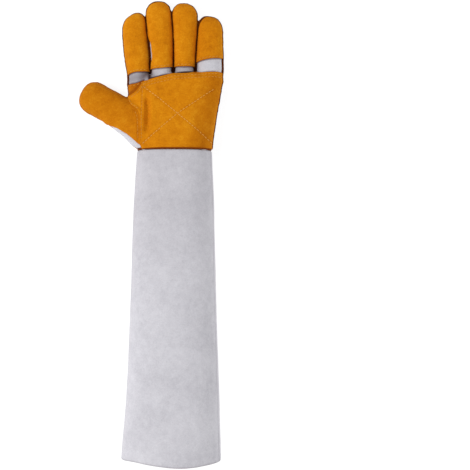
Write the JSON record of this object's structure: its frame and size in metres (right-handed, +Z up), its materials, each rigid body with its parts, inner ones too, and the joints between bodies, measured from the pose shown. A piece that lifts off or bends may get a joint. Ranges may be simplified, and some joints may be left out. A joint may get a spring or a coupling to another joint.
{
  "type": "animal handling glove",
  "caption": "Left hand animal handling glove of split leather with a very long sleeve, golden suede patches on the palm side, welted seams and an open cuff.",
  "frame": {"origin": "on the surface that the glove lies on, under the middle of its box", "axes": "+X from the thumb to the little finger, +Y from the cuff to the fingertips, +Z up out of the palm"},
  "size_m": [0.1899, 0.5998, 0.066],
  "materials": {
    "grey_suede": "matt pale grey split leather with a short nap",
    "gold_suede": "matt golden split leather with a short nap",
    "welt": "dark reddish brown folded leather strip",
    "thread": "pale cream sewing thread"
  },
  "bodies": {
    "root": {"sleeve_front": "grey_suede", "sleeve_back": "grey_suede", "hand_back": "grey_suede", "palm_front": "grey_suede", "middle_front": "grey_suede", "ring_front": "grey_suede", "thumb_patch": "gold_suede", "index_base_patch": "gold_suede", "palm_patch": "gold_suede", "index_patch": "gold_suede", "middle_patch": "gold_suede", "ring_patch": "gold_suede", "little_patch": "gold_suede", "thumb_welt": "welt", "index_welt": "welt", "middle_welt": "welt", "ring_welt": "welt", "little_welt": "welt", "wrist_welt": "welt"}
  },
  "joints": []
}
